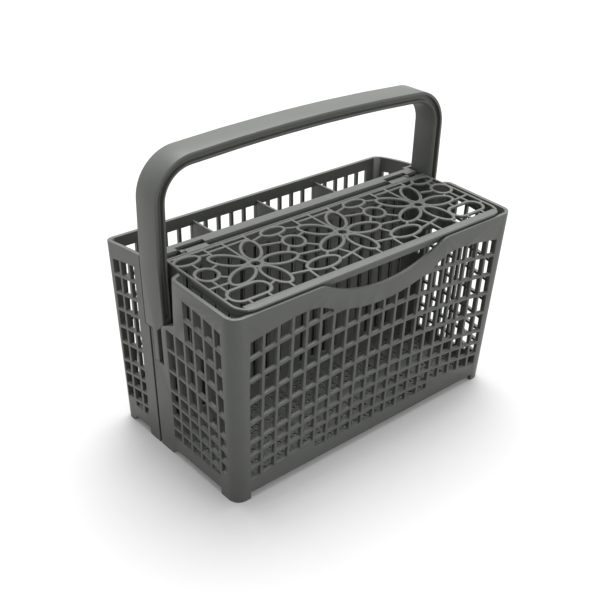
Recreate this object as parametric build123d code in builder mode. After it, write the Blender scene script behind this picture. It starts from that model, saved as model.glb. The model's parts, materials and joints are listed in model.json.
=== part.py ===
from build123d import *
import os
from math import asin, atan2, cos, degrees, pi, sin, sqrt

# Dishwasher cutlery basket in millimetres: a deep front basket with a hinged
# grille lid, a narrow rear basket with four compartments that hooks on behind
# it, and a bow handle. X runs along the width, -Y is the front with the finger
# dip, Z is up, and the feet stand on Z = 0.

# Outside sizes
overall_width = 240.0
overall_depth = 130.0
overall_height = 205.0
corner_height = 132.8
crest_height = 138.6
side_draft = 6.0
end_draft = 4.0
front_corner_radius = 8.0
rear_corner_radius = 6.0

# Walls and floors
wall = 2.5
middle_wall = 2.0
floor_bottom = 5.0
floor_thickness = 2.0
divider_thickness = 1.6
divider_height = 128.0

# Where the two baskets meet
seam_y = 19.6
seam_gap = 2.0
hook_front_y = 15.0
hook_bottom = 136.6
hook_thickness = 2.0

# Wall grid
column_pitch = 10.77
rib_width = 2.0
column_count = 20
grid_narrowing = 0.02
side_pitch = 10.0
side_grid_start = 2.0
grid_margin = 11.5
bow_radius = 570.0
side_bow_radius = 250.0
rib_heights = (113.2, 97.8, 82.7, 67.2, 52.2, 42.3, 32.6, 22.8)
rear_rib_heights = (113.2, 97.8, 82.7, 60.0, 37.0)
rear_side_rib_heights = (118.1, 105.1, 92.9, 79.9, 67.7, 53.9, 44.2, 34.4, 23.9)
rear_fine_rows = 3
side_top_row = 13.0
rear_side_top_row = 11.0
rear_grid_top = 125.0
grid_top = 120.8
grid_top_crest = 125.2
grid_bottom = 15.0
short_row_columns = 10
smallest_hole = 2.5

# Slots in the walls beside the seam and in the floors
slot_count = 20
slot_rib = 6.8
floor_slot_count = 12
floor_rib = 5.0
middle_slot_bottom = 16.0
middle_slot_top = 122.0
floor_margin = 7.0
floor_seam_y = 11.0
rear_floor_y = 28.0

# Finger dip in the front rim
dip_radius = 102.0
dip_bottom = 118.5
dip_shoulder_radius = 12.0
dip_band = 12.8

# Feet
front_foot_inner_x = 103.0
corner_foot_end_y = -46.0
seam_foot_length = 13.0
rear_foot_length = 9.0
rear_seam_foot_length = 11.0
foot_slope = 4.0

# Handle
handle_front_y = 4.8
handle_width = 19.6
handle_thickness = 8.0
handle_bottom = 91.0
handle_bend_radius = 28.0
handle_bow_radius = 1500.0
handle_edge = 1.6
shoulder_height = 7.2
tongue_width = 4.6
tongue_bottom = 68.3
tongue_inner_x = 114.2
tongue_end_gap = 0.2
tooth_depth = 1.6
tooth_height = 5.0
tooth_bottom = 74.0
handle_clearance = 0.3

# Recess beside each handle leg
recess_wall_x = 109.6
recess_straight_end_y = 1.0
recess_end_y = -11.0
recess_floor_high = 106.0
slot_width = 4.8
backing_thickness = 2.2
backing_bottom = 62.0

# Lid
lid_setback = 1.6
lid_rear_y = 10.8
lid_rise = 3.0
lid_plate = 1.8
lid_gap = 0.4
lid_rest_gap = 0.3
lid_leg_clearance = 0.4
lid_corner_radius = 11.0
lid_front_border = 5.6
lid_side_border = 2.0
lid_rear_border = 2.5
lid_skirt_depth = 4.4
lid_skirt_thickness = 1.6
lid_skirt_front = 14.0
lid_skirt_end_gap = 5.0

# Lid pattern, measured from the middle and from the lid's front edge
ring_width = 1.8
ring_sides = 10
circle_sides = 8
lid_rib = 1.7
rib_lap = 1.0
flower_pitch = 70.0
flower_v = 40.2
flower_hole_radius = 3.1
petal_count = 5
petal_reach = 16.5
petal_half_length = 11.1
petal_half_width = 5.3
petal_start = 61.0
ring_radius = 6.3
ring_centres = ((-101.3, 45.8), (-32.8, 48.8), (37.2, 48.8), (102.9, 48.8))
top_oval = (8.0, 3.8)
top_oval_centres = ((-101.6, 65.6), (-35.7, 66.2), (35.0, 66.2), (101.6, 66.2))
low_oval = (11.5, 5.2)
low_oval_centres = ((-35.9, 17.9), (34.8, 17.9))
slot_size = (26.5, 12.0)
slot_centre = (92.8, 17.4)

# Ribs between two flowers, from the middle of the gap: x, v to x, v
gap_ribs = (
    (-27.0, 19.1, -13.4, 15.8),
    (-14.2, 15.0, -15.0, 5.6),
    (-11.0, 29.1, -8.7, 23.5),
    (-9.5, 40.6, -4.9, 45.2),
    (-6.8, 34.3, 7.2, 31.4),
    (6.3, 42.5, 10.5, 37.9),
    (8.6, 52.7, 14.2, 54.4),
    (-0.5, 61.0, -0.5, 56.4),
    (-8.8, 66.0, -18.4, 63.5),
    (-18.9, 56.2, -5.5, 52.3),
    (8.2, 65.2, 14.4, 62.6),
    (12.6, 15.4, 31.0, 19.0),
    (18.4, 24.8, 21.5, 16.4),
    (21.5, 16.4, 21.3, 5.6),
    (6.3, 23.1, 9.4, 26.0),
    (-0.8, 11.0, -0.8, 5.6),
)
# Ribs at a flower, from its middle
flower_ribs = (
    (-15.2, 72.3, -15.2, 62.5),
    (-1.6, 72.3, -1.6, 55.6),
    (15.2, 72.3, 15.2, 63.5),
    (-15.2, 67.2, 15.2, 67.2),
    (1.8, 19.5, 1.8, 5.6),
)
# Ribs at either end, mirrored
end_ribs = (
    (109.0, 66.4, 113.7, 65.9),
    (93.8, 66.4, 86.0, 65.0),
    (101.4, 60.4, 101.3, 54.0),
    (108.6, 45.7, 114.0, 46.1),
    (96.3, 49.7, 87.6, 52.6),
    (103.2, 40.4, 103.2, 24.8),
    (114.0, 32.0, 96.4, 31.4),
    (96.6, 40.4, 92.4, 36.8),
    (89.1, 29.2, 88.8, 24.8),
    (114.0, 18.4, 106.4, 18.2),
    (99.0, 10.6, 98.9, 5.6),
    (85.2, 10.6, 85.2, 5.6),
    (79.6, 16.0, 72.0, 19.0),
)

# Hinge
hinge_y = 13.4
hinge_z = 136.4
hinge_x = 87.0
hinge_pin_diameter = 2.6
hinge_pin_length = 2.6
hinge_clearance = 0.05
hinge_barrel_diameter = 3.6
hinge_barrel_length = 16.0
hinge_side_gap = 0.4
ear_diameter = 4.2
ear_thickness = 3.0
ear_depth = 8.0
notch_margin = 0.5
notch_back_y = 18.5

top_plane_z = crest_height + 6.0
grid_half_width = column_pitch * column_count / 2
half_width = overall_width / 2
half_depth = overall_depth / 2
front_seam_y = seam_y - seam_gap / 2
rear_seam_y = seam_y + seam_gap / 2
floor_top = floor_bottom + floor_thickness
handle_rear_y = handle_front_y + handle_width
lid_half_width = half_width - handle_thickness - lid_leg_clearance


def side_x(z):
    """Outer half width of the side walls at height z."""
    return half_width - side_draft * (1 - z / crest_height)


def end_y(z):
    """Distance of the front and rear faces from the centre at height z."""
    return half_depth - end_draft * (1 - z / corner_height)


def prism_x(points, x_low, x_high):
    """Private solid with a YZ outline, running along X."""
    with BuildPart(mode=Mode.PRIVATE) as block:
        with BuildSketch(Plane.YZ.offset(x_low)):
            Polygon(*points, align=None)
        extrude(amount=x_high - x_low)
    return block.part


def prism_y(points, y_low, y_high):
    """Private solid with an XZ outline, running along Y."""
    with BuildPart(mode=Mode.PRIVATE) as block:
        with BuildSketch(Plane.XZ.offset(-y_low)):
            Polygon(*points, align=None)
        extrude(amount=-(y_high - y_low))
    return block.part


def tapered_block(z_low, z_high, inset, y_seam, facing, radius):
    """Drafted block from one end face to the seam, as a private solid."""
    x_low = side_x(z_low) - inset
    x_high = side_x(z_high) - inset
    y_low = facing * (end_y(z_low) - inset)
    y_high = facing * (end_y(z_high) - inset)
    beyond = facing * (half_depth + 10)
    across = prism_y(
        [(-x_low, z_low), (x_low, z_low), (x_high, z_high), (-x_high, z_high)],
        min(y_seam, beyond),
        max(y_seam, beyond),
    )
    along = prism_x(
        [(y_seam, z_low), (y_low, z_low), (y_high, z_high), (y_seam, z_high)],
        -half_width - 10,
        half_width + 10,
    )
    with BuildPart(mode=Mode.PRIVATE) as block:
        add(across)
        add(along, mode=Mode.INTERSECT)
        corners = block.edges().filter_by(
            lambda e: abs((e @ 1).Z - (e @ 0).Z) > 0.9 * (z_high - z_low)
            and abs(e.center().Y - y_seam) > 1
        )
        fillet(corners, radius)
    return block.part


def both_sides(solid):
    """The solid and its mirror image across the middle of the basket."""
    return [solid, mirror(solid, about=Plane.YZ, mode=Mode.PRIVATE)]


def above_rim():
    """Everything above the rim, which arches up along the side walls."""
    top = top_plane_z + 2.0
    reach = half_depth + 5.0
    inside = half_depth - wall
    with BuildPart(mode=Mode.PRIVATE) as block:
        with BuildSketch(Plane.YZ.offset(-half_width - 5)):
            with BuildLine():
                arch = ThreePointArc(
                    (-inside, corner_height), (0, crest_height), (inside, corner_height)
                )
                Polyline(
                    arch @ 1,
                    (reach, corner_height),
                    (reach, top),
                    (-reach, top),
                    (-reach, corner_height),
                    arch @ 0,
                )
            make_face()
        extrude(amount=overall_width + 10)
    return block.part


def column_edges(index, z, narrowing):
    """Left and right X of one grid column on a front or rear wall."""
    shrink = 1 - narrowing * (grid_top - z) / (grid_top - grid_bottom)
    left = (index - column_count / 2) * column_pitch * shrink
    right = (index + 1 - column_count / 2) * column_pitch * shrink
    limit = side_x(z) - grid_margin
    left = max(left, -limit - rib_width / 2)
    right = min(right, limit + rib_width / 2)
    return left + rib_width / 2, right - rib_width / 2


def bowed(crest, distance, radius):
    """Height of a rib line that is highest in the middle."""
    return crest - distance**2 / (2 * radius)


def hole_face(left, right, low, high):
    """One hole with straight sides and sloping top and bottom."""
    corners = [
        (left, low(left)),
        (right, low(right)),
        (right, high(right)),
        (left, high(left)),
    ]
    return Polygon(*corners, align=None, mode=Mode.PRIVATE)


def row_limits(row, ribs, radius, top_line, bottom_line):
    """Lower and upper edge functions of one row of holes."""

    def low(u):
        if row == len(ribs):
            return bottom_line
        return max(bottom_line, bowed(ribs[row], u, radius) + rib_width / 2)

    def high(u):
        if row == 0:
            return top_line(u)
        return min(top_line(u), bowed(ribs[row - 1], u, radius) - rib_width / 2)

    return low, high


def end_wall_holes(ribs, top_line, narrowing, fine_rows):
    """Holes of the front or rear wall grid; rows below the fine ones are twice as wide."""
    holes = []
    for row in range(len(ribs) + 1):
        low, high = row_limits(row, ribs, bow_radius, top_line, grid_bottom)
        step = 1 if row < fine_rows else 2
        for index in range(0, column_count, step):
            beyond = abs(index + step / 2 - column_count / 2) > short_row_columns / 2
            if row == len(ribs) and beyond:
                continue
            z = ribs[min(row, len(ribs) - 1)]
            left, _ = column_edges(index, z, narrowing)
            _, right = column_edges(index + step - 1, z, narrowing)
            heights = (high(left) - low(left), high(right) - low(right))
            if max(heights) < smallest_hole or min(heights) < rib_width / 3:
                continue
            holes.append(hole_face(left, right, low, high))
    return holes


def plain_top(u):
    """Upper limit of the grid under a straight rim."""
    return min(grid_top, bowed(grid_top_crest, u, bow_radius))


def dip_top(u):
    """Upper limit of the front grid, with the band under the finger dip."""
    centre_z = dip_bottom + dip_radius
    reach = dip_radius + dip_band
    band = centre_z - sqrt(reach**2 - u**2)
    return min(plain_top(u), band)


def rear_top(u):
    """Upper limit of the rear wall grid, which is straight."""
    return rear_grid_top


def side_top(v):
    """Upper limit of the grid in the front basket's side walls."""
    return bowed(rib_heights[0] + side_top_row, v, side_bow_radius)


def rear_side_top(v):
    """Upper limit of the grid in the rear basket's side walls."""
    return bowed(rear_side_rib_heights[0] + rear_side_top_row, v, side_bow_radius)


def side_holes(edges, first_rows, ribs, top_line):
    """Holes of a side wall between pairs of Y edges."""
    holes = []
    for (near, far), first_row in zip(edges, first_rows):
        for row in range(first_row, len(ribs) + 1):
            low, high = row_limits(row, ribs, side_bow_radius, top_line, grid_bottom)
            if min(high(near) - low(near), high(far) - low(far)) < smallest_hole:
                continue
            holes.append(hole_face(near, far, low, high))
    return holes


def grid_of_boxes(xs, ys):
    """Private rectangles at every crossing of X and Y spans."""
    faces = []
    for x_low, x_high in xs:
        for y_low, y_high in ys:
            corners = [(x_low, y_low), (x_high, y_low), (x_high, y_high), (x_low, y_high)]
            faces.append(Polygon(*corners, align=None, mode=Mode.PRIVATE))
    return faces


def spans(low, high, count, gap):
    """Equal spans between two limits, parted by a gap."""
    width = (high - low - gap * (count - 1)) / count
    return [(low + i * (width + gap), low + i * (width + gap) + width) for i in range(count)]


def recess(inset):
    """Recess beside the right handle leg, grown by an inset for the cavity."""
    x0 = recess_wall_x - inset
    across = half_width - recess_wall_x
    along = recess_straight_end_y - recess_end_y
    radius = (across**2 + along**2) / (4 * across)
    turn = degrees(asin(along / 2 / radius))
    far_x = half_width + 10
    rear = seam_y + 6
    with BuildPart(mode=Mode.PRIVATE) as plan:
        with BuildSketch(Plane.XY.offset(handle_bottom - 12)):
            with BuildLine():
                straight = Line((x0, rear), (x0, recess_straight_end_y))
                inner = JernArc(straight @ 1, (0, -1), radius + inset, turn)
                outer = JernArc(inner @ 1, inner % 1, radius - inset, -turn)
                Polyline(outer @ 1, (far_x, (outer @ 1).Y), (far_x, rear), straight @ 0)
            make_face()
        extrude(amount=top_plane_z - handle_bottom + 20)
    drop = inset * 1.15 + handle_clearance
    shoulder_y = handle_front_y + shoulder_height
    side = prism_x(
        [
            (rear + 2, handle_bottom - drop),
            (shoulder_y, handle_bottom - drop),
            (handle_front_y, handle_bottom + shoulder_height - drop),
            (recess_end_y, recess_floor_high - drop),
            (recess_end_y - 5, recess_floor_high - drop),
            (recess_end_y - 5, top_plane_z + 10),
            (rear + 2, top_plane_z + 10),
        ],
        x0 - 10,
        far_x + 1,
    )
    with BuildPart(mode=Mode.PRIVATE) as cut:
        add(plan.part)
        add(side, mode=Mode.INTERSECT)
    return cut.part


def leg_pocket(inset):
    """Room for the rear edge of the right handle leg in the rear basket."""
    low = handle_bottom - handle_clearance - inset
    return prism_y(
        [
            (recess_wall_x - inset, low),
            (half_width + 10, low),
            (half_width + 10, top_plane_z + 10),
            (recess_wall_x - inset, top_plane_z + 10),
        ],
        seam_y - 5,
        handle_rear_y + handle_clearance + inset,
    )


def lid_top(y):
    """Z of the lid's top plane at Y."""
    return lid_front_z + lid_rise * (y - lid_front_y) / (lid_rear_y - lid_front_y)


lid_front_y = -half_depth + lid_setback
lid_front_z = corner_height + lid_gap + lid_plate
lid_tilt = atan2(lid_rise, lid_rear_y - lid_front_y)
lid_length = (lid_rear_y - lid_front_y) / cos(lid_tilt)
rim_cut = above_rim()

# Front basket with finger dip, handle sockets and hinge ears
with BuildPart() as front_basket:
    add(tapered_block(0, top_plane_z, 0, front_seam_y, -1, front_corner_radius))
    cavity_seam = front_seam_y - middle_wall
    cavity_radius = front_corner_radius - wall
    cavity = tapered_block(floor_top, top_plane_z, wall, cavity_seam, -1, cavity_radius)
    under = tapered_block(0, floor_bottom, wall, cavity_seam, -1, cavity_radius)
    backing = prism_x(
        [
            (handle_front_y - 2, backing_bottom),
            (front_seam_y, backing_bottom),
            (front_seam_y, handle_bottom + shoulder_height),
            (handle_front_y - 2, handle_bottom + shoulder_height),
        ],
        tongue_inner_x - tongue_end_gap - backing_thickness,
        half_width,
    )
    keep = both_sides(recess(wall)) + both_sides(backing)
    with BuildPart(mode=Mode.PRIVATE) as cavity_shape:
        add(cavity)
        add(keep, mode=Mode.SUBTRACT)
    add(cavity_shape.part, mode=Mode.SUBTRACT)
    add(under, mode=Mode.SUBTRACT)
    add(both_sides(recess(0)), mode=Mode.SUBTRACT)
    add(rim_cut, mode=Mode.SUBTRACT)

    # The rim rises towards the seam as the lid over it does
    rest_drop = lid_plate + lid_rest_gap
    rim_rear = front_seam_y + 1
    rim_front = -half_depth - 1
    rest_cut = prism_x(
        [
            (rim_rear, lid_top(rim_rear) - rest_drop),
            (rim_front, lid_top(rim_front) - rest_drop),
            (rim_front, crest_height + 1),
            (rim_rear, crest_height + 1),
        ],
        -half_width - 1,
        half_width + 1,
    )
    add(rest_cut, mode=Mode.SUBTRACT)

    # Finger dip
    with BuildSketch(Plane.XZ.offset(half_depth + 3)) as dip:
        with Locations((0, dip_bottom + dip_radius)):
            Circle(dip_radius)
        with Locations((0, corner_height + 20)):
            Rectangle(overall_width + 10, 40)
        shoulders = dip.vertices().filter_by(
            lambda v: abs(v.Y - corner_height) < 0.01 and abs(v.X) < half_width - 1
        )
        fillet(shoulders, dip_shoulder_radius)
    extrude(amount=-(wall + 5), mode=Mode.SUBTRACT)

    # Feet: the skirt under the floor is cut away between them
    foot_gap_x = [
        (-front_foot_inner_x, -1),
        (front_foot_inner_x, -1),
        (front_foot_inner_x, floor_bottom),
        (-front_foot_inner_x, floor_bottom),
    ]
    add(prism_y(foot_gap_x, -half_depth - 5, front_seam_y + 5), mode=Mode.SUBTRACT)
    foot_end = front_seam_y - seam_foot_length
    foot_gap_y = [
        (corner_foot_end_y, -1),
        (foot_end, -1),
        (foot_end, 0),
        (foot_end - foot_slope, floor_bottom),
        (corner_foot_end_y, floor_bottom),
    ]
    add(prism_x(foot_gap_y, -half_width - 5, half_width + 5), mode=Mode.SUBTRACT)

    # Openings beside the backing for each handle tongue and its tooth
    tongue_rear_y = handle_front_y + shoulder_height + tongue_width
    slot_front_y = handle_front_y + shoulder_height - slot_width
    tongue_slot = prism_x(
        [
            (slot_front_y, tongue_bottom - tongue_end_gap),
            (tongue_rear_y + tongue_end_gap, tongue_bottom - tongue_end_gap),
            (tongue_rear_y + tongue_end_gap, handle_bottom),
            (slot_front_y, handle_bottom + shoulder_height - 2),
        ],
        tongue_inner_x - tongue_end_gap,
        half_width + 5,
    )
    add(both_sides(tongue_slot), mode=Mode.SUBTRACT)
    tooth_window = prism_x(
        [
            (slot_front_y, tooth_bottom - tongue_end_gap),
            (tongue_rear_y, tooth_bottom - tongue_end_gap),
            (tongue_rear_y, tooth_bottom + tooth_height + tongue_end_gap),
            (slot_front_y, tooth_bottom + tooth_height + tongue_end_gap),
        ],
        tongue_inner_x - backing_thickness - 2,
        tongue_inner_x,
    )
    add(both_sides(tooth_window), mode=Mode.SUBTRACT)

    # Hinge ears on the rear wall, on the outer side of each barrel
    ear_offset = hinge_barrel_length / 2 + hinge_side_gap
    for side in (-1, 1):
        with BuildSketch(Plane.YZ.offset(side * (hinge_x + ear_offset))):
            with Locations((hinge_y, hinge_z)):
                Circle(ear_diameter / 2)
            Polygon(
                (hinge_y - ear_diameter / 2, hinge_z),
                (hinge_y, hinge_z + ear_diameter / 2),
                (front_seam_y, hinge_z),
                (front_seam_y, hinge_z - ear_depth),
                (cavity_seam, hinge_z - ear_depth),
                align=None,
            )
            with Locations((hinge_y, hinge_z)):
                Circle(hinge_pin_diameter / 2 + hinge_clearance, mode=Mode.SUBTRACT)
        extrude(amount=side * ear_thickness)

    # Wall grids
    with BuildSketch(Plane.XZ.offset(half_depth + 3)):
        add(end_wall_holes(rib_heights, dip_top, grid_narrowing, len(rib_heights) + 1))
    extrude(amount=-(wall + end_draft + 5), mode=Mode.SUBTRACT)
    side_edges = [
        (side_grid_start - side_pitch * (i + 1) + rib_width, side_grid_start - side_pitch * i)
        for i in range(5)
    ]
    side_edges.append((-53.4, -48.0))
    side_first_rows = [2, 2, 0, 0, 0, 0]
    for side in (-1, 1):
        with BuildSketch(Plane.YZ.offset(side * (half_width + 3))):
            add(side_holes(side_edges, side_first_rows, rib_heights, side_top))
        extrude(amount=-side * (wall + side_draft + 5), mode=Mode.SUBTRACT)

    # Rear wall slots and floor openings
    floor_end_y = end_y(0) - floor_margin
    slot_reach = grid_half_width - slot_rib / 2
    slot_columns = spans(-slot_reach, slot_reach, slot_count, slot_rib)
    slot_rows = [(middle_slot_bottom, middle_slot_top)]
    floor_reach = grid_half_width - floor_rib / 2
    floor_columns = spans(-floor_reach, floor_reach, floor_slot_count, floor_rib)
    with BuildSketch(Plane.XZ.offset(-front_seam_y - 1)):
        add(grid_of_boxes(slot_columns, slot_rows))
    extrude(amount=middle_wall + 3, mode=Mode.SUBTRACT)
    with BuildSketch(Plane.XY.offset(floor_bottom - 1)):
        add(grid_of_boxes(floor_columns, spans(-floor_end_y, floor_seam_y, 2, floor_rib)))
    extrude(amount=floor_thickness + 2, mode=Mode.SUBTRACT)
front_basket.part.label = "front_basket"

# Rear basket with four compartments and the hook over the front basket
with BuildPart() as rear_basket:
    add(tapered_block(0, top_plane_z, 0, rear_seam_y, 1, rear_corner_radius))
    cavity_front = rear_seam_y + middle_wall
    cavity_radius = rear_corner_radius - wall
    cavity = tapered_block(floor_top, top_plane_z, wall, cavity_front, 1, cavity_radius)
    under = tapered_block(0, floor_bottom, wall, cavity_front, 1, cavity_radius)
    with BuildPart(mode=Mode.PRIVATE) as rear_cavity:
        add(cavity)
        add(both_sides(leg_pocket(wall)), mode=Mode.SUBTRACT)
    add(rear_cavity.part, mode=Mode.SUBTRACT)
    add(under, mode=Mode.SUBTRACT)
    add(both_sides(leg_pocket(0)), mode=Mode.SUBTRACT)
    add(rim_cut, mode=Mode.SUBTRACT)

    # Hook flange that carries the rear basket on the front one
    hook_half = recess_wall_x - 1.0
    hook = prism_y(
        [
            (-hook_half, hook_bottom),
            (hook_half, hook_bottom),
            (hook_half, hook_bottom + hook_thickness),
            (-hook_half, hook_bottom + hook_thickness),
        ],
        hook_front_y,
        cavity_front,
    )
    add(hook)
    notch_inner = hinge_x - hinge_barrel_length / 2 - notch_margin
    notch_outer = hinge_x + ear_offset + ear_thickness + notch_margin
    for side in (-1, 1):
        notch = prism_y(
            [
                (side * notch_inner, hook_bottom - 1),
                (side * notch_outer, hook_bottom - 1),
                (side * notch_outer, hook_bottom + hook_thickness + 1),
                (side * notch_inner, hook_bottom + hook_thickness + 1),
            ],
            hook_front_y - 1,
            notch_back_y,
        )
        add(notch, mode=Mode.SUBTRACT)

    # Dividers, which stand on ribs of the rear wall
    for i in (-1, 0, 1):
        divider_x = i * grid_half_width / 2
        divider = prism_x(
            [
                (cavity_front - middle_wall / 2, floor_bottom + floor_thickness / 2),
                (end_y(floor_top) - wall / 2, floor_bottom + floor_thickness / 2),
                (end_y(divider_height) - wall / 2, divider_height),
                (cavity_front - middle_wall / 2, divider_height),
            ],
            divider_x - divider_thickness / 2,
            divider_x + divider_thickness / 2,
        )
        add(divider)

    # Feet
    add(prism_y(foot_gap_x, rear_seam_y - 5, half_depth + 5), mode=Mode.SUBTRACT)
    rear_foot_end = end_y(0) - rear_foot_length
    seam_foot_end = rear_seam_y + rear_seam_foot_length
    rear_gap = [
        (seam_foot_end, -1),
        (rear_foot_end, -1),
        (rear_foot_end, 0),
        (rear_foot_end - foot_slope, floor_bottom),
        (seam_foot_end, floor_bottom),
    ]
    add(prism_x(rear_gap, -half_width - 5, half_width + 5), mode=Mode.SUBTRACT)

    # Wall grids
    with BuildSketch(Plane.XZ.offset(-half_depth - 3)):
        add(end_wall_holes(rear_rib_heights, rear_top, 0, rear_fine_rows))
    extrude(amount=wall + end_draft + 5, mode=Mode.SUBTRACT)
    rear_edges = [(49.0, 56.0), (38.8, 46.8), (31.5, 36.6)]
    for side in (-1, 1):
        with BuildSketch(Plane.YZ.offset(side * (half_width + 3))):
            add(side_holes(rear_edges, [0, 0, 0], rear_side_rib_heights, rear_side_top))
        extrude(amount=-side * (wall + side_draft + 5), mode=Mode.SUBTRACT)
    with BuildSketch(Plane.XZ.offset(-rear_seam_y + 1)):
        add(grid_of_boxes(slot_columns, slot_rows))
    extrude(amount=-(middle_wall + 3), mode=Mode.SUBTRACT)
    with BuildSketch(Plane.XY.offset(floor_bottom - 1)):
        add(grid_of_boxes(floor_columns, [(rear_floor_y, floor_end_y)]))
    extrude(amount=floor_thickness + 2, mode=Mode.SUBTRACT)
rear_basket.part.label = "rear_basket"


def bow_outline(inset):
    """Outline of the bow in XZ, filled down to the foot of the legs."""
    side = half_width - inset
    crest = overall_height - inset
    radius = handle_bow_radius - inset
    corner_z = crest - radius + sqrt(radius**2 - side**2)
    low = handle_bottom - 1
    low_x = side_x(low) - inset
    with BuildSketch(Plane.XZ, mode=Mode.PRIVATE) as outline:
        with BuildLine():
            top = ThreePointArc((-side, corner_z), (0, crest), (side, corner_z))
            Polyline(
                top @ 1, (side, crest_height), (low_x, low), (-low_x, low), (-side, crest_height), top @ 0
            )
        make_face()
        fillet(outline.vertices().group_by(Axis.Y)[-1], handle_bend_radius - inset)
    return outline.sketch


# Bow handle with a shoulder, a tongue and a snap tooth at the foot of each leg
with BuildPart() as handle:
    with BuildSketch(Plane.XZ.offset(-handle_front_y)):
        add(bow_outline(0))
        add(bow_outline(handle_thickness), mode=Mode.SUBTRACT)
    extrude(amount=-handle_width)
    middle = Vector(0, handle_front_y + handle_width / 2, crest_height)
    inner_faces = handle.faces().filter_by(
        lambda f: f.normal_at().dot(f.center() - middle) < 0 and abs(f.normal_at().Y) < 0.1
    )
    long_edges = inner_faces.edges().filter_by(
        lambda e: abs(abs(e.center().Y - middle.Y) - handle_width / 2) < 0.01
    )
    chamfer(long_edges, handle_edge)
    shoulder_y = handle_front_y + shoulder_height
    foot_cut = prism_x(
        [
            (handle_rear_y + 1, handle_bottom),
            (shoulder_y, handle_bottom),
            (handle_front_y - 1, handle_bottom + shoulder_height + 1),
            (handle_front_y - 1, handle_bottom - 5),
            (handle_rear_y + 1, handle_bottom - 5),
        ],
        -half_width - 5,
        half_width + 5,
    )
    add(foot_cut, mode=Mode.SUBTRACT)
    tongue_tip_x = side_x(tongue_bottom)
    tooth_top = tooth_bottom + tooth_height
    tongue = prism_y(
        [
            (tongue_inner_x, handle_bottom + 1),
            (tongue_inner_x, tooth_top),
            (tongue_inner_x - tooth_depth, tooth_top),
            (tongue_inner_x, tooth_bottom),
            (tongue_inner_x, tongue_bottom),
            (tongue_tip_x, tongue_bottom),
            (side_x(handle_bottom + 1), handle_bottom + 1),
        ],
        shoulder_y,
        shoulder_y + tongue_width,
    )
    add(both_sides(tongue))
handle.part.label = "handle"


def lid_outline(inset_side, inset_front, inset_rear, radius):
    """Outline of the lid, which swings between the legs, drawn from its front edge."""
    wide = lid_half_width - inset_side
    rear = lid_length - inset_rear
    with BuildSketch(mode=Mode.PRIVATE) as outline:
        Polygon((-wide, inset_front), (wide, inset_front), (wide, rear), (-wide, rear), align=None)
        fillet(outline.vertices().group_by(Axis.Y)[0], radius)
    return outline.sketch


def lid_rib_face(x0, v0, x1, v1):
    """One straight rib of the grille, lapping into what it joins."""
    length = sqrt((x1 - x0) ** 2 + (v1 - v0) ** 2) + 2 * rib_lap
    turn = degrees(atan2(v1 - v0, x1 - x0))
    middle = Location(((x0 + x1) / 2, (v0 + v1) / 2, 0), (0, 0, turn))
    return Rectangle(length, lid_rib, mode=Mode.PRIVATE).moved(middle)


def oval(half_length, half_width, straight=0.0):
    """Faceted oval hole or ring, with an optional straight middle."""
    sides = circle_sides if half_length == half_width else ring_sides
    points = []
    for i in range(sides):
        angle = 2 * pi * (i + 0.5) / sides
        shift = straight / 2 if cos(angle) > 0 else -straight / 2
        points.append((half_length * cos(angle) + shift, half_width * sin(angle)))
    return Polygon(*points, align=None)


def lid_rings(grow):
    """Rings of the grille: flowers, circles, ovals and end slots."""
    slot_radius = slot_size[1] / 2
    slot_straight = slot_size[0] - slot_size[1]
    with BuildSketch(mode=Mode.PRIVATE) as rings:
        for i in (-1, 0, 1):
            with Locations((i * flower_pitch, flower_v)):
                oval(flower_hole_radius + grow, flower_hole_radius + grow)
                with PolarLocations(petal_reach, petal_count, start_angle=petal_start):
                    oval(petal_half_length + grow, petal_half_width + grow)
        with Locations(*ring_centres):
            oval(ring_radius + grow, ring_radius + grow)
        with Locations(*top_oval_centres):
            oval(top_oval[0] + grow, top_oval[1] + grow)
        with Locations(*low_oval_centres):
            oval(low_oval[0] + grow, low_oval[1] + grow)
        with Locations((-slot_centre[0], slot_centre[1]), slot_centre):
            oval(slot_radius + grow, slot_radius + grow, slot_straight)
    return rings.sketch


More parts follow.
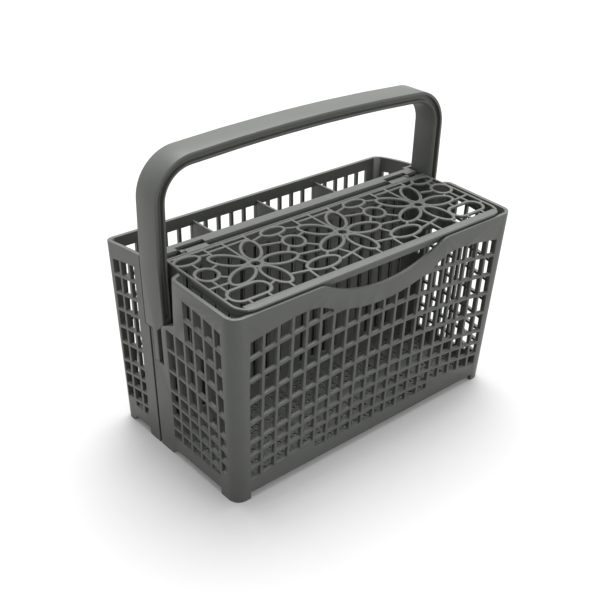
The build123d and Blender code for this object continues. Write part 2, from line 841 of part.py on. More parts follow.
# Grille lid with skirts and hinge barrels
lid_plane = Plane(
    origin=(0, lid_front_y, lid_front_z),
    x_dir=(1, 0, 0),
    z_dir=(0, -sin(lid_tilt), cos(lid_tilt)),
)
with BuildPart() as lid:
    with BuildSketch(lid_plane):
        add(lid_outline(0, 0, 0, lid_corner_radius))
        inner_radius = lid_corner_radius - lid_side_border
        add(
            lid_outline(lid_side_border, lid_front_border, lid_rear_border, inner_radius),
            mode=Mode.SUBTRACT,
        )
    extrude(amount=-lid_plate)
    with BuildSketch(lid_plane):
        add(lid_rings(ring_width))
        for i in (-1, 0, 1):
            for x0, v0, x1, v1 in flower_ribs:
                x = i * flower_pitch
                add(lid_rib_face(x + x0, v0, x + x1, v1))
        for x in (-flower_pitch / 2, flower_pitch / 2):
            for x0, v0, x1, v1 in gap_ribs:
                add(lid_rib_face(x + x0, v0, x + x1, v1))
        for side in (-1, 1):
            for x0, v0, x1, v1 in end_ribs:
                add(lid_rib_face(side * x0, v0, side * x1, v1))
        add(lid_rings(0), mode=Mode.SUBTRACT)
        edge = lid_side_border / 2
        add(lid_outline(edge, edge, edge, lid_corner_radius - edge), mode=Mode.INTERSECT)
    extrude(amount=-lid_plate)
    skirt_x = lid_half_width - lid_skirt_thickness
    skirt_front = lid_front_y + lid_skirt_front
    skirt_end = recess_end_y - lid_skirt_end_gap
    skirt = prism_x(
        [
            (skirt_front, lid_top(skirt_front) - lid_plate / 2),
            (skirt_end, lid_top(skirt_end) - lid_plate / 2),
            (skirt_end, lid_top(skirt_end) - lid_skirt_depth),
            (skirt_front, lid_top(skirt_front) - lid_skirt_depth),
        ],
        skirt_x,
        lid_half_width,
    )
    add(both_sides(skirt))
    for side in (-1, 1):
        start = side * hinge_x - hinge_barrel_length / 2
        with BuildSketch(Plane.YZ.offset(start)):
            with Locations((hinge_y, hinge_z)):
                Circle(hinge_barrel_diameter / 2)
            Polygon(
                (lid_rear_y - 1, lid_top(lid_rear_y - 1)),
                (lid_rear_y - 1, lid_top(lid_rear_y - 1) - lid_plate),
                (hinge_y, hinge_z - 1),
                (hinge_y, hinge_z + hinge_barrel_diameter / 2),
                align=None,
            )
        extrude(amount=hinge_barrel_length)
        outer_end = side * (hinge_x + hinge_barrel_length / 2)
        with BuildSketch(Plane.YZ.offset(outer_end)):
            with Locations((hinge_y, hinge_z)):
                Circle(hinge_pin_diameter / 2)
        extrude(amount=side * hinge_pin_length)
lid.part.label = "lid"

os.makedirs("parts", exist_ok=True)
export_step(front_basket.part, "parts/front_basket.step")
export_step(rear_basket.part, "parts/rear_basket.step")
export_step(lid.part, "parts/lid.step")
export_step(handle.part, "parts/handle.step")
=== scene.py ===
import json
import math

import bmesh
import bpy
from mathutils import Matrix, Vector


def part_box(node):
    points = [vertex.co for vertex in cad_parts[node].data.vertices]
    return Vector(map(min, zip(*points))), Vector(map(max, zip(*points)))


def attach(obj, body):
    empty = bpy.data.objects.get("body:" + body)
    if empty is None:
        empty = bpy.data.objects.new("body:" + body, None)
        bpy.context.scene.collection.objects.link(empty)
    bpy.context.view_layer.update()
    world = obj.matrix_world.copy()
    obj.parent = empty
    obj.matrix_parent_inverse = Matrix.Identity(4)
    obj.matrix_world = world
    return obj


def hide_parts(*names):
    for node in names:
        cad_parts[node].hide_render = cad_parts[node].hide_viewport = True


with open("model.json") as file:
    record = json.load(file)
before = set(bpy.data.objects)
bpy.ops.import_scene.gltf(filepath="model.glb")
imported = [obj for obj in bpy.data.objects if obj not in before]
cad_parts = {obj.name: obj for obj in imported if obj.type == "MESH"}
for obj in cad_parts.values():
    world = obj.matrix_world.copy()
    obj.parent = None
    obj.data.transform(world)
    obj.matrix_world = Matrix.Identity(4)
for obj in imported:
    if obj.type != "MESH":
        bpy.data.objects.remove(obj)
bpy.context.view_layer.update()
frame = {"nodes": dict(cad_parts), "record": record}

# Sizes are in millimetres and angles in degrees, unless a comment says otherwise
MM = 0.001

# Camera: place in metres, turn right of +Y, drop below level, roll and lens
camera_place = Vector((-0.3887, -0.41701, 0.39801))
camera_turn = 42.016
camera_drop = 29.448
camera_roll = 1.894
camera_lens = 58.08

# Floor: half its side in metres, grey and glow that are seen, grey that bounces light
floor_reach = 6.0
floor_grey = 0.6
floor_glow = 0.06
floor_bounce = 0.2

# World: strength of the even light on the object, and of the backdrop that is seen
even_light = 0.66
backdrop_light = 1.0

# Lamps: name, side that it shines from, apparent width, power
lamps = (
    ("overhead", (0.28, 0.3, 1.0), 50.0, 3.8),
    ("front", (0.3, -1.0, 0.4), 60.0, 0.55),
)

# Plastic: colour, limits of roughness and tone, then scale and detail of each noise
plastic_colour = (0.095, 0.1, 0.0915)
plastic_ior = 1.49
plastic_roughness = (0.37, 0.48)
mottle_tone = (0.9, 1.1)
mottle_noise = (70.0, 5.0)
flow_noise = (45.0, 1.0)
grain_noise = (1500.0, 2.0)
flow_share = 6.0
grain_strength = 0.3
grain_depth = 0.06
shaded_edge = 0.6
shading_samples = 4

# Mouldings: merged points, flattened facets, edges that are rounded or stay sharp
merge_reach = 0.15
flat_angle = 1.0
edge_angle = 35.0
sharp_angle = 40.0
moulded_edge = 0.45
moulded_segments = 2

# Lid plane: x across, v back from the front edge, heights down from the top face
lid_half_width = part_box("lid")[1][0] / MM
lid_front_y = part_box("lid")[0][1] / MM
lid_front_z = 135.0
lid_rear_y = 10.8
lid_rise = 3.0
# Tilt in radians, and length along the tilt
lid_tilt = math.atan2(lid_rise, lid_rear_y - lid_front_y)
lid_length = (lid_rear_y - lid_front_y) / math.cos(lid_tilt)
plate_height = 1.8
ring_width = 2.3
rib_width = 1.9
ring_drop = 0.1
rib_drop = 0.25
rib_lap = 1.6
border_width = 2.0
front_band = 5.6
rear_band = 2.6
band_lap = 0.8
band_inset = 4.95
lid_corner = 11.0
corner_reach = 10.0
skirt_width = 1.5
skirt_depth = 5.6
skirt_drop = 0.3
skirt_front_v = 1.5
skirt_end_v = 47.0
wire_edge = 0.6

# Steps of the round forms, and how near the points of a plug are merged
ring_points = 40
corner_points = 8
wire_points = 3
pin_points = 20
plug_merge = 0.01

# Pattern of the lid
flower_pitch = 70.0
flower_v = 40.2
flower_hole = 2.7
petal_count = 5
petal_reach = 16.5
petal_size = (10.8, 5.0)
petal_start = 61.0
circle_size = 6.0
circle_places = ((-101.3, 45.8), (-32.8, 48.8), (37.2, 48.8), (102.9, 48.8))
top_oval_size = (7.7, 3.5)
top_oval_places = ((-101.6, 65.6), (-35.7, 66.2), (35.0, 66.2), (101.6, 66.2))
low_oval_size = (11.2, 4.9)
low_oval_places = ((-35.9, 17.9), (34.8, 17.9))
slot_radius = 5.7
slot_straight = 14.5
slot_places = ((-92.8, 17.4), (92.8, 17.4))

# Ribs between two flowers, from the middle of the gap: x, v to x, v
gap_ribs = (
    (-27.0, 19.1, -13.4, 15.8),
    (-14.2, 15.0, -15.0, 5.6),
    (-11.0, 29.1, -8.7, 23.5),
    (-9.5, 40.6, -4.9, 45.2),
    (-6.8, 34.3, 7.2, 31.4),
    (6.3, 42.5, 12.6, 35.6),
    (8.6, 52.7, 14.2, 54.4),
    (-0.5, 61.0, -0.5, 56.4),
    (-8.8, 66.0, -18.4, 63.5),
    (-18.9, 56.2, -5.5, 52.3),
    (8.2, 65.2, 14.4, 62.6),
    (12.6, 15.4, 31.0, 19.0),
    (18.4, 24.8, 21.5, 16.4),
    (21.5, 16.4, 21.3, 5.6),
    (6.3, 23.1, 9.4, 26.0),
    (-0.8, 11.0, -0.8, 5.6),
)
# Ribs at a flower, from its middle
flower_ribs = (
    (-15.2, 72.3, -15.2, 62.5),
    (-1.6, 72.3, -1.6, 51.0),
    (15.2, 72.3, 15.2, 63.5),
    (-14.4, 67.2, 14.4, 67.2),
    (1.8, 19.5, 1.8, 5.6),
)
# Ribs at either end, mirrored
end_ribs = (
    (107.6, 66.4, 109.4, 66.2),
    (93.8, 66.4, 86.0, 65.0),
    (101.4, 60.4, 101.3, 54.0),
    (107.6, 45.7, 109.4, 45.9),
    (96.3, 49.7, 87.6, 52.6),
    (103.2, 40.4, 103.2, 24.8),
    (109.4, 31.9, 96.4, 31.4),
    (96.6, 40.4, 92.4, 36.8),
    (89.1, 29.2, 88.8, 24.8),
    (109.4, 18.3, 106.0, 18.2),
    (99.0, 10.6, 98.9, 5.6),
    (85.2, 10.6, 85.2, 5.6),
    (79.6, 16.0, 72.0, 19.0),
)

# Hinge of the lid: its axis from the record, then barrels, pins and webs
hinge_y = frame["record"]["behaviour"]["joints"][0]["pos_m"][1] / MM
hinge_z = frame["record"]["behaviour"]["joints"][0]["pos_m"][2] / MM
hinge_x = 87.0
barrel_radius = 1.8
barrel_length = 16.0
pin_radius = 1.3
pin_length = 2.6
web_width = 3.4
web_lap = 1.0

# Handle: its box, the bend and bow of its outer line, its edges and its legs
handle_low, handle_high = (Vector(corner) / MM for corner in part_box("handle"))
handle_width = handle_high.y - handle_low.y
handle_bend = 28.0
handle_bow = 1500.0
handle_edge = 1.3
handle_segments = 3
inner_edge = 0.35
leg_top_z = 138.6
leg_lean = 0.04

# Groove in the handle's faces: its two sides from the outer line, depth, lowest point
groove_outer = 2.0
groove_inner = 5.7
groove_depth = 3.0
groove_start_z = 101.0
groove_edge = 0.6
groove_points = 12

# The handle's outer edges: how near to a face they lie, most front-to-back part of the
# unit normal of the side that they border
face_reach = 0.01
side_limit = 0.1

# Fine grating in the floors: x and y limits of each, height of its middle
grating_limits = {
    "front_grating": (-107.0, 107.0, -56.5, 13.5),
    "rear_grating": (-107.0, 107.0, 26.0, 56.5),
}
grating_z = 6.0
grating_pitch = 4.6
grating_bar = 2.3
grating_height = 1.4
grating_edge = 0.3
grating_points = 2

# Kinds of point in a plan: marks for rings, and lines for all others
RING, RIB, BORDER, BAND, SKIRT, BARREL, PIN, WEB = range(8)


def put(tree, kind, wires=None, **settings):
    """Adds a node; wires join or set its inputs by name or number."""
    made = tree.nodes.new(kind)
    for key, value in settings.items():
        setattr(made, key, value)
    for name, value in (wires or {}).items():
        if isinstance(name, int):
            end = made.inputs[name]
        else:
            end = next(s for s in made.inputs if s.name == name and s.enabled)
        if isinstance(value, bpy.types.Node):
            value = next(s for s in value.outputs if s.enabled)
        if isinstance(value, bpy.types.NodeSocket):
            tree.links.new(value, end)
        else:
            end.default_value = value
    return made


def new_object(name, data):
    """Object in the scene with this mesh, camera or lamp."""
    made = bpy.data.objects.new(name, data)
    bpy.context.scene.collection.objects.link(made)
    return made


def grey(level):
    """An even grey of this level, from 0 to 1."""
    return (level, level, level, 1.0)


def add_camera():
    """The photograph's view: turned right of +Y, looking down."""
    turn = math.radians(camera_turn)
    drop = math.radians(camera_drop)
    roll = math.radians(camera_roll)
    level = math.cos(drop)
    ahead = Vector((math.sin(turn) * level, math.cos(turn) * level, -math.sin(drop)))
    side = ahead.cross(Vector((0, 0, 1))).normalized()
    up = side.cross(ahead)
    across = side * math.cos(roll) + up * math.sin(roll)
    upright = up * math.cos(roll) - side * math.sin(roll)
    data = bpy.data.cameras.new("camera")
    data.lens = camera_lens
    camera = new_object("camera", data)
    axes = Matrix((across, upright, -ahead)).transposed()
    camera.matrix_world = Matrix.Translation(camera_place) @ axes.to_4x4()
    bpy.context.scene.camera = camera


def seen_directly(tree):
    """Socket that is 1 for camera, glossy and transmission rays, and else 0."""
    path = put(tree, "ShaderNodeLightPath")
    seen = path.outputs["Is Camera Ray"]
    for ray in ("Is Glossy Ray", "Is Transmission Ray"):
        seen = put(tree, "ShaderNodeMath", {0: seen, 1: path.outputs[ray]}, operation="MAXIMUM")
        seen = seen.outputs[0]
    return seen


def floor_white():
    """Pale floor that shows white with the object's shadow, and bounces less light."""
    material = bpy.data.materials.new("floor_white")
    material.use_nodes = True
    tree = material.node_tree
    tree.nodes.clear()
    shown = put(tree, "ShaderNodeBsdfDiffuse", {"Color": grey(floor_grey)})
    glow = put(tree, "ShaderNodeEmission", {"Color": grey(1.0), "Strength": floor_glow})
    lit = put(tree, "ShaderNodeAddShader", {0: shown, 1: glow})
    bounce = put(tree, "ShaderNodeBsdfDiffuse", {"Color": grey(floor_bounce)})
    mixed = put(tree, "ShaderNodeMixShader", {0: seen_directly(tree), 1: bounce, 2: lit})
    put(tree, "ShaderNodeOutputMaterial", {"Surface": mixed})
    return material


def add_floor():
    """Wide flat floor under the object."""
    mesh = bpy.data.meshes.new("floor")
    corners = [(x * floor_reach, y * floor_reach, 0) for x, y in ((-1, -1), (1, -1), (1, 1), (-1, 1))]
    mesh.from_pydata(corners, [], [(0, 1, 2, 3)])
    floor = new_object("floor", mesh)
    mesh.materials.append(floor_white())


def add_world():
    """White backdrop for the eye, and a weaker even light for the object."""
    world = bpy.data.worlds.new("studio")
    bpy.context.scene.world = world
    world.use_nodes = True
    tree = world.node_tree
    tree.nodes.clear()
    even = put(tree, "ShaderNodeBackground", {"Color": grey(1.0), "Strength": even_light})
    white = put(tree, "ShaderNodeBackground", {"Color": grey(1.0), "Strength": backdrop_light})
    mixed = put(tree, "ShaderNodeMixShader", {0: seen_directly(tree), 1: even, 2: white})
    put(tree, "ShaderNodeOutputWorld", {"Surface": mixed})


def add_lamps():
    """A broad soft light from above and a weaker one from the front."""
    for name, side, width, power in lamps:
        data = bpy.data.lights.new(name, "SUN")
        data.angle = math.radians(width)
        data.energy = power
        lamp = new_object(name, data)
        lamp.location = side
        lamp.rotation_euler = (-Vector(side)).to_track_quat("-Z", "Y").to_euler()


def noise(tree, scale_and_detail):
    """Noise in the piece's own coordinates."""
    place = put(tree, "ShaderNodeTexCoord").outputs["Object"]
    scale, detail = scale_and_detail
    return put(tree, "ShaderNodeTexNoise", {"Vector": place, "Scale": scale, "Detail": detail})


def moulded_plastic(name):
    """Grey moulded plastic with a faint mottle and a fine eroded grain."""
    material = bpy.data.materials.new(name)
    material.use_nodes = True
    tree = material.node_tree
    shader = tree.nodes["Principled BSDF"]
    shader.inputs["IOR"].default_value = plastic_ior

    mottle = noise(tree, mottle_noise)
    dull, bright = mottle_tone
    tone = put(tree, "ShaderNodeMapRange", {"Value": mottle, "To Min": dull, "To Max": bright})
    shade = put(
        tree,
        "ShaderNodeMix",
        {"Factor": 1.0, "A": (*plastic_colour, 1.0), "B": tone},
        data_type="RGBA",
        blend_type="MULTIPLY",
    )
    tree.links.new(shade.outputs["Result"], shader.inputs["Base Color"])
    low, high = plastic_roughness
    gloss = put(tree, "ShaderNodeMapRange", {"Value": mottle, "To Min": low, "To Max": high})
    tree.links.new(gloss.outputs["Result"], shader.inputs["Roughness"])

    flow = noise(tree, flow_noise)
    grain = noise(tree, grain_noise)
    height = put(
        tree, "ShaderNodeMath", {0: flow, 1: flow_share, 2: grain}, operation="MULTIPLY_ADD"
    )
    rounding = put(tree, "ShaderNodeBevel", {"Radius": shaded_edge * MM}, samples=shading_samples)
    bump = put(
        tree,
        "ShaderNodeBump",
        {
            "Height": height,
            "Strength": grain_strength,
            "Distance": grain_depth * MM,
            "Normal": rounding,
        },
    )
    tree.links.new(bump.outputs["Normal"], shader.inputs["Normal"])
    return material


def made_plain(piece):
    """The piece with its modifiers worked into a plain mesh."""
    depsgraph = bpy.context.evaluated_depsgraph_get()
    mesh = bpy.data.meshes.new_from_object(piece.evaluated_get(depsgraph))
    piece.modifiers.clear()
    piece.data = mesh
    return piece


def moulding(node):
    """Copy of a CAD node as one closed mesh of large faces, in the plastic."""
    mesh = frame["nodes"][node].data.copy()
    piece = new_object(node + "_moulding", mesh)
    work = bmesh.new()
    work.from_mesh(mesh)
    bmesh.ops.remove_doubles(work, verts=work.verts, dist=merge_reach * MM)
    bmesh.ops.dissolve_limit(
        work, angle_limit=math.radians(flat_angle), verts=work.verts, edges=work.edges
    )
    work.to_mesh(mesh)
    work.free()
    mesh.materials.clear()
    mesh.materials.append(basket_plastic)
    return piece


def softened(piece, width, segments, limit="ANGLE"):
    """The piece with its sharp edges rounded, or by WEIGHT only the marked ones."""
    bevel = piece.modifiers.new("edges", "BEVEL")
    bevel.width = width * MM
    bevel.segments = segments
    bevel.limit_method = limit
    bevel.angle_limit = math.radians(edge_angle)
    bevel.use_clamp_overlap = True
    made_plain(piece)
    piece.data.set_sharp_from_angle(angle=math.radians(sharp_angle))
    return piece


def plan_mesh(name, marks, lines):
    """Mesh of lone ring points and of lines, each point with its kind and sizes."""
    rows = [(place, RING, (*reach, 0), turn, straight) for place, reach, turn, straight in marks]
    edges = []
    for kind, places in lines:
        last = len(rows) + len(places) - 1
        edges += [(i, i + 1) for i in range(len(rows), last)]
        rows += [(place, kind, (0, 0, 0), 0, 0) for place in places]
    places, kinds, reaches, turns, straights = zip(*rows)
    mesh = bpy.data.meshes.new(name)
    mesh.from_pydata([Vector(place) * MM for place in places], edges, [])
    for label, form, values in (
        ("kind", "INT", kinds),
        ("turn", "FLOAT", [math.radians(turn) for turn in turns]),
        ("straight", "FLOAT", [straight * MM for straight in straights]),
    ):
        mesh.attributes.new(label, form, "POINT").data.foreach_set("value", values)
    flat = [number for reach in reaches for number in Vector(reach) * MM]
    mesh.attributes.new("reach", "FLOAT_VECTOR", "POINT").data.foreach_set("vector", flat)
    return mesh


def sized_tree(name, sizes):
    """Geometry node tree with an input for the plan and one for each named size."""
    tree = bpy.data.node_groups.new(name, "GeometryNodeTree")
    tree.interface.new_socket("Plan", in_out="INPUT", socket_type="NodeSocketGeometry")
    for size in sizes:
        tree.interface.new_socket(size, in_out="INPUT", socket_type="NodeSocketFloat")
    tree.interface.new_socket("Mesh", in_out="OUTPUT", socket_type="NodeSocketGeometry")
    return tree, put(tree, "NodeGroupInput").outputs


def grown(piece, tree, sizes):
    """Runs the tree on the piece's plan with these sizes."""
    modifier = piece.modifiers.new("made", "NODES")
    modifier.node_group = tree
    for item in tree.interface.items_tree:
        if item.in_out == "INPUT" and item.name in sizes:
            modifier[item.identifier] = sizes[item.name] * MM
    return made_plain(piece)


def attribute(tree, name, form="FLOAT"):
    """What each point of the plan carries under this name."""
    return put(tree, "GeometryNodeInputNamedAttribute", {"Name": name}, data_type=form)


def of_kind(tree, plan, kind):
    """Part of the plan that carries one kind number."""
    wires = {2: attribute(tree, "kind", "INT"), 3: kind}
    same = put(tree, "FunctionNodeCompare", wires, data_type="INT", operation="EQUAL")
    part = put(tree, "GeometryNodeSeparateGeometry", {"Geometry": plan, "Selection": same})
    return part.outputs["Selection"]


def lines_of(tree, plan, kind):
    """Lines of one kind as curves."""
    return put(tree, "GeometryNodeMeshToCurve", {"Mesh": of_kind(tree, plan, kind)})


def filleted(tree, curve, radius, count):
    """The curve with its corners rounded, as far as there is room."""
    wires = {"Curve": curve, "Count": count, "Radius": radius, "Limit Radius": True}
    return put(tree, "GeometryNodeFilletCurve", wires, mode="POLY")


def bar_section(tree, width, height, edge, count=wire_points):
    """Rectangle with rounded corners, as a profile."""
    wires = {"Width": width, "Height": height}
    box = put(tree, "GeometryNodeCurvePrimitiveQuadrilateral", wires)
    return filleted(tree, box, edge, count)


def circle(tree, radius, count):
    """Circle as a curve."""
    wires = {"Resolution": count, "Radius": radius}
    return put(tree, "GeometryNodeCurvePrimitiveCircle", wires)


def swept(tree, curve, section, normals="Z_UP"):
    """Bars with closed ends: the section along each line of the curve."""
    level = put(tree, "GeometryNodeSetCurveNormal", {"Curve": curve}, mode=normals)
    wires = {"Curve": level, "Profile Curve": section, "Fill Caps": True}
    return put(tree, "GeometryNodeCurveToMesh", wires)


def apart(tree, mesh):
    """Every loose part of the mesh as an instance, so that a union joins them."""
    island = put(tree, "GeometryNodeInputMeshIsland").outputs["Island Index"]
    wires = {"Geometry": mesh, "Group ID": island}
    return put(tree, "GeometryNodeSplitToInstances", wires, domain="FACE")


def joined(tree, parts):
    """The parts as one closed mesh."""
    union = put(tree, "GeometryNodeMeshBoolean", operation="UNION", solver="MANIFOLD")
    for part in parts:
        tree.links.new(part.outputs[0], union.inputs["Mesh 2"])
    return union


def finished(tree, mesh):
    """Smooth shading with sharp edges, one real mesh and the plastic, to the output."""
    smooth = put(tree, "GeometryNodeSetShadeSmooth", {"Geometry": mesh, "Shade Smooth": True})
    angle = put(tree, "GeometryNodeInputMeshEdgeAngle").outputs["Unsigned Angle"]
    wires = {0: angle, 1: math.radians(sharp_angle)}
    sharp = put(tree, "FunctionNodeCompare", wires, operation="GREATER_THAN")
    wires = {"Geometry": smooth, "Selection": sharp, "Shade Smooth": False}
    creased = put(tree, "GeometryNodeSetShadeSmooth", wires, domain="EDGE")
    real = put(tree, "GeometryNodeRealizeInstances", {"Geometry": creased})
    coated = put(tree, "GeometryNodeSetMaterial", {"Geometry": real, "Material": basket_plastic})
    put(tree, "NodeGroupOutput", {"Mesh": coated})


def groove_line(y):
    """Middle line of the groove in a face of the handle, from leg to leg."""
    inset = (groove_outer + groove_inner) / 2
    side = handle_high.x - inset
    bow = handle_bow - inset
    bend = handle_bend - inset
    bow_z = handle_high.z - handle_bow
    bend_x = side - bend
    bend_z = bow_z + math.sqrt((bow - bend) ** 2 - bend_x**2)
    turn = math.atan2(bend_x, bend_z - bow_z)
    low_x = side - leg_lean * (leg_top_z - groove_start_z)
    half = []
    for i in range(groove_points):
        angle = turn * i / groove_points
        half.append((bow * math.sin(angle), bow_z + bow * math.cos(angle)))
    for i in range(groove_points + 1):
        angle = turn + (math.pi / 2 - turn) * i / groove_points
        half.append((bend_x + bend * math.sin(angle), bend_z + bend * math.cos(angle)))
    half += [(side, leg_top_z), (low_x, groove_start_z)]
    left = [(-x, y, z) for x, z in reversed(half[1:])]
    return left + [(x, y, z) for x, z in half]


def groove_tree(sizes):
    """Bars along the grooves for cutting, twice as deep, because half lies outside."""
    tree, size = sized_tree("handle_groove", sizes)
    deep = put(tree, "ShaderNodeMath", {0: size["Groove Depth"], 1: 2.0}, operation="MULTIPLY")
    section = bar_section(tree, deep, size["Groove Width"], size["Groove Edge"])
    line = put(tree, "GeometryNodeMeshToCurve", {"Mesh": size["Plan"]})
    finished(tree, swept(tree, line, section, "MINIMUM_TWIST"))
    return tree


def mark_edges(mesh):
    """Full bevel weight on the handle's outer long edges, a little on its other ones."""
    middle = Vector((0, (handle_low.y + handle_high.y) / 2, leg_top_z)) * MM
    work = bmesh.new()
    work.from_mesh(mesh)
    weight = work.edges.layers.float.new("bevel_weight_edge")
    for edge in work.edges:
        if len(edge.link_faces) != 2 or edge.calc_face_angle() < math.radians(edge_angle):
            continue
        edge[weight] = inner_edge / handle_edge
        depths = [abs(v.co.y - middle.y) / MM for v in edge.verts]
        on_face = all(abs(depth - handle_width / 2) < face_reach for depth in depths)
        outward = any(
            abs(f.normal.y) < side_limit and f.normal.dot(f.calc_center_median() - middle) > 0
            for f in edge.link_faces
        )
        if on_face and outward:
            edge[weight] = 1.0
    work.to_mesh(mesh)
    work.free()


def grooved_handle():
    """The handle with a groove along both faces and softly rounded outer edges."""
    piece = moulding("handle")
    lines = [(RIB, groove_line(y)) for y in (handle_low.y, handle_high.y)]
    groove = new_object("handle_groove", plan_mesh("groove_plan", [], lines))
    sizes = {
        "Groove Width": groove_inner - groove_outer,
        "Groove Depth": groove_depth,
        "Groove Edge": groove_edge,
    }
    grown(groove, groove_tree(sizes), sizes)
    cut = piece.modifiers.new("groove", "BOOLEAN")
    cut.operation = "DIFFERENCE"
    cut.solver = "EXACT"
    cut.object = groove
    made_plain(piece)
    bpy.data.objects.remove(groove)
    mark_edges(piece.data)
    return softened(piece, handle_edge, handle_segments, "WEIGHT")


def lid_rings():
    """Ring marks of the lid: place, half sizes of the hole, turn and straight length."""
    z = -(plate_height + ring_drop) / 2
    marks = []
    for x in (-flower_pitch, 0, flower_pitch):
        centre = Vector((x, flower_v, z))
        marks.append((centre, (flower_hole, flower_hole), 0, 0))
        for i in range(petal_count):
            turn = petal_start + i * 360 / petal_count
            out = Vector((math.cos(math.radians(turn)), math.sin(math.radians(turn)), 0))
            marks.append((centre + out * petal_reach, petal_size, turn, 0))
    for places, size, straight in (
        (circle_places, (circle_size, circle_size), 0),
        (top_oval_places, top_oval_size, 0),
        (low_oval_places, low_oval_size, 0),
        (slot_places, (slot_radius, slot_radius), slot_straight),
    ):
        marks += [((x, v, z), size, 0, straight) for x, v in places]
    return marks


def lid_ribs():
    """Ribs of the pattern as lines, lengthened into what they join."""
    ribs = []
    for middle in (-flower_pitch, 0, flower_pitch):
        ribs += [(middle + x0, v0, middle + x1, v1) for x0, v0, x1, v1 in flower_ribs]
    for middle in (-flower_pitch / 2, flower_pitch / 2):
        ribs += [(middle + x0, v0, middle + x1, v1) for x0, v0, x1, v1 in gap_ribs]
    for side in (-1, 1):
        ribs += [(side * x0, v0, side * x1, v1) for x0, v0, x1, v1 in end_ribs]
    z = -(plate_height + rib_drop) / 2
    lines = []
    for x0, v0, x1, v1 in ribs:
        start = Vector((x0, v0, z))
        end = Vector((x1, v1, z))
        lap = (end - start).normalized() * rib_lap
        lines.append((RIB, [start - lap, end + lap]))
    return lines


def lid_border():
    """Border, front band, rear band and skirt of the lid as lines."""
    z = -plate_height / 2
    near = border_width / 2
    x = lid_half_width - near
    far = lid_length - near
    middle = (0, near, z)
    border = [middle, (x, near, z), (x, far, z), (-x, far, z), (-x, near, z), middle]
    band_x = lid_half_width - band_inset
    band_v = (border_width + front_band) / 2
    rear_v = lid_length - rear_band
    rear_z = z - rib_drop / 2
    skirt_x = lid_half_width - skirt_width / 2
    skirt_v = skirt_front_v + skirt_width / 2
    skirt_z = -skirt_depth / 2 - skirt_drop
    skirt = [(-skirt_x, skirt_end_v), (-skirt_x, skirt_v), (skirt_x, skirt_v), (skirt_x, skirt_end_v)]
    return [
        (BORDER, border),
        (BAND, [(-band_x, band_v, z), (band_x, band_v, z)]),
        (RIB, [(-x, rear_v, rear_z), (x, rear_v, rear_z)]),
        (SKIRT, [(x, v, skirt_z) for x, v in skirt]),
    ]


def on_lid(x, y, z):
    """A point of the shared frame, in the lid plane's own axes."""
    place = Vector((x, y - lid_front_y, z - lid_front_z))
    return Matrix.Rotation(-lid_tilt, 3, "X") @ place


def lid_hinge():
    """Barrels, pins and the webs that carry them as lines."""
    lines = []
    for side in (-1, 1):
        inner = side * (hinge_x - barrel_length / 2)
        outer = side * (hinge_x + barrel_length / 2)
        tip = outer + side * pin_length
        lines.append((BARREL, [on_lid(x, hinge_y, hinge_z) for x in (inner, outer)]))
        lines.append((PIN, [on_lid(x, hinge_y, hinge_z) for x in (inner, tip)]))
        web_v = lid_length + web_width / 2 - web_lap
        lines.append((WEB, [(x, web_v, -plate_height / 2) for x in (inner, outer)]))
    return lines


def ring_loops(tree, plan, ring_width):
    """Middle lines of the rings: a circle on each mark, stretched, turned and parted."""
    marks = put(
        tree,
        "GeometryNodeStoreNamedAttribute",
        {
            "Geometry": of_kind(tree, plan, RING),
            "Name": "centre",
            "Value": put(tree, "GeometryNodeInputPosition"),
        },
        data_type="FLOAT_VECTOR",
    )
    half_width = put(tree, "ShaderNodeMath", {0: ring_width, 1: 0.5}, operation="MULTIPLY")
    wires = {0: attribute(tree, "reach", "FLOAT_VECTOR"), 1: half_width}
    radii = put(tree, "ShaderNodeVectorMath", wires, operation="ADD")
    wires = {
        "Points": marks,
        "Instance": circle(tree, 1.0, ring_points),
        "Rotation": put(tree, "ShaderNodeCombineXYZ", {"Z": attribute(tree, "turn")}),
        "Scale": radii,
    }
    loops = put(tree, "GeometryNodeInstanceOnPoints", wires)
    ovals = put(tree, "GeometryNodeRealizeInstances", {"Geometry": loops})

    here = put(tree, "GeometryNodeInputPosition")
    wires = {0: here, 1: attribute(tree, "centre", "FLOAT_VECTOR")}
    away = put(tree, "ShaderNodeVectorMath", wires, operation="SUBTRACT")
    across = put(tree, "ShaderNodeSeparateXYZ", {"Vector": away}).outputs["X"]
    sign = put(tree, "ShaderNodeMath", {0: across}, operation="SIGN")
    wires = {0: attribute(tree, "straight"), 1: 0.5}
    half_straight = put(tree, "ShaderNodeMath", wires, operation="MULTIPLY")
    shift = put(tree, "ShaderNodeMath", {0: sign, 1: half_straight}, operation="MULTIPLY")
    move = put(tree, "ShaderNodeCombineXYZ", {"X": shift})
    return put(tree, "GeometryNodeSetPosition", {"Geometry": ovals, "Offset": move})


def rounded_corners(tree, curve, radius):
    """Rounds the corners near the lid's front edge."""
    here = put(tree, "GeometryNodeInputPosition")
    v = put(tree, "ShaderNodeSeparateXYZ", {"Vector": here}).outputs["Y"]
    wires = {0: v, 1: corner_reach * MM}
    front = put(tree, "FunctionNodeCompare", wires, operation="LESS_THAN")
    amount = put(tree, "ShaderNodeMath", {0: front, 1: radius}, operation="MULTIPLY")
    return filleted(tree, curve, amount, corner_points)


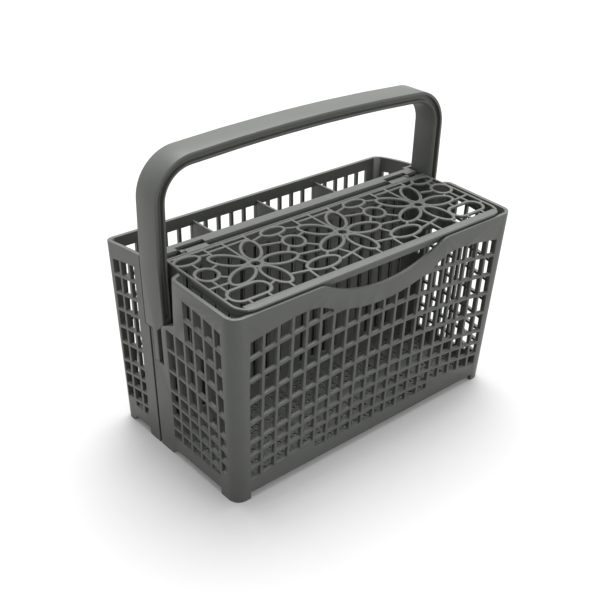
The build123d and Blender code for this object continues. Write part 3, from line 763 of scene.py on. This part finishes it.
def ribs_outside(tree, ribs, loops):
    """Ribs joined, and cut away inside the middle line of every ring."""
    half_plug = 2 * plate_height * MM
    discs = put(tree, "GeometryNodeFillCurve", {"Curve": loops}, mode="NGONS")
    wires = {"Geometry": discs, "Translation": (0, 0, -half_plug)}
    low = put(tree, "GeometryNodeTransform", wires)
    wires = {"Mesh": low, "Offset": (0, 0, 1), "Offset Scale": 2 * half_plug}
    pushed = put(tree, "GeometryNodeExtrudeMesh", wires, mode="FACES")
    under = put(tree, "GeometryNodeFlipFaces", {"Mesh": low})
    both = put(tree, "GeometryNodeJoinGeometry")
    for part in (pushed, under):
        tree.links.new(part.outputs["Mesh"], both.inputs["Geometry"])
    wires = {"Geometry": both, "Distance": plug_merge * MM}
    plugs = put(tree, "GeometryNodeMergeByDistance", wires)
    cut = put(tree, "GeometryNodeMeshBoolean", operation="DIFFERENCE", solver="MANIFOLD")
    tree.links.new(joined(tree, [ribs]).outputs["Mesh"], cut.inputs["Mesh 1"])
    tree.links.new(apart(tree, plugs).outputs["Instances"], cut.inputs["Mesh 2"])
    return cut


def grille_tree(sizes):
    """Lid: rings on points, bars on lines, all joined into one moulding."""
    tree, size = sized_tree("lid_grille", sizes)
    plan = size["Plan"]
    lines = {kind: lines_of(tree, plan, kind) for kind in (RIB, BORDER, BAND, SKIRT, BARREL, PIN, WEB)}
    lines[RING] = ring_loops(tree, plan, size["Ring Width"])
    for kind in (BORDER, SKIRT):
        lines[kind] = rounded_corners(tree, lines[kind], size["Corner Radius"])

    sections = {}
    for kind, width, height in (
        (RING, "Ring Width", "Ring Height"),
        (RIB, "Rib Width", "Rib Height"),
        (BORDER, "Border Width", "Plate Height"),
        (BAND, "Band Width", "Plate Height"),
        (SKIRT, "Skirt Width", "Skirt Height"),
        (WEB, "Web Width", "Plate Height"),
    ):
        sections[kind] = bar_section(tree, size[width], size[height], size["Wire Edge"])
    sections[BARREL] = circle(tree, size["Barrel Radius"], pin_points)
    sections[PIN] = circle(tree, size["Pin Radius"], pin_points)

    bars = {kind: apart(tree, swept(tree, lines[kind], sections[kind])) for kind in sorted(sections)}
    bars[RIB] = ribs_outside(tree, bars[RIB], lines[RING])
    wires = {
        "Geometry": joined(tree, bars.values()),
        "Translation": Vector((0, lid_front_y, lid_front_z)) * MM,
        "Rotation": (lid_tilt, 0, 0),
    }
    finished(tree, put(tree, "GeometryNodeTransform", wires))
    return tree


def make_lid():
    """The grille lid."""
    lines = lid_ribs() + lid_border() + lid_hinge()
    piece = new_object("lid_grille", plan_mesh("lid_plan", lid_rings(), lines))
    sizes = {
        "Ring Width": ring_width,
        "Ring Height": plate_height - ring_drop,
        "Rib Width": rib_width,
        "Rib Height": plate_height - rib_drop,
        "Wire Edge": wire_edge,
        "Border Width": border_width,
        "Band Width": front_band - border_width + 2 * band_lap,
        "Plate Height": plate_height,
        "Corner Radius": lid_corner - border_width / 2,
        "Skirt Width": skirt_width,
        "Skirt Height": skirt_depth,
        "Barrel Radius": barrel_radius,
        "Pin Radius": pin_radius,
        "Web Width": web_width,
    }
    return grown(piece, grille_tree(sizes), sizes)


def grating_lines(limits):
    """Crossing lines, evenly spaced between these limits."""
    x0, x1, y0, y1 = limits
    across = round((y1 - y0) / grating_pitch)
    along = round((x1 - x0) / grating_pitch)
    lines = []
    for i in range(1, across):
        y = y0 + (y1 - y0) * i / across
        lines.append((RIB, [(x0, y, grating_z), (x1, y, grating_z)]))
    for i in range(1, along):
        x = x0 + (x1 - x0) * i / along
        lines.append((RIB, [(x, y0, grating_z), (x, y1, grating_z)]))
    return lines


def grating_tree(sizes):
    """Grating: bars swept along crossing lines and joined."""
    tree, size = sized_tree("floor_grating", sizes)
    section = bar_section(
        tree, size["Bar Width"], size["Bar Height"], size["Bar Edge"], grating_points
    )
    line = put(tree, "GeometryNodeMeshToCurve", {"Mesh": size["Plan"]})
    finished(tree, joined(tree, [apart(tree, swept(tree, line, section))]))
    return tree


def make_gratings():
    """Fine crossing bars within the thickness of each basket's floor, from one tree."""
    sizes = {"Bar Width": grating_bar, "Bar Height": grating_height, "Bar Edge": grating_edge}
    tree = grating_tree(sizes)
    pieces = []
    for name, limits in grating_limits.items():
        plan = plan_mesh(name + "_plan", [], grating_lines(limits))
        pieces.append(grown(new_object(name, plan), tree, sizes))
    return pieces


bpy.context.scene.view_settings.view_transform = "Standard"
add_camera()
add_floor()
add_world()
add_lamps()
basket_plastic = moulded_plastic("basket_plastic")
visible = {
    "front_basket": softened(moulding("front_basket"), moulded_edge, moulded_segments),
    "rear_basket": moulding("rear_basket"),
    "handle": grooved_handle(),
    "lid": make_lid(),
}
for node, piece in visible.items():
    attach(piece, "lid" if node == "lid" else "basket")
    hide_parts(node)
for piece in make_gratings():
    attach(piece, "basket")
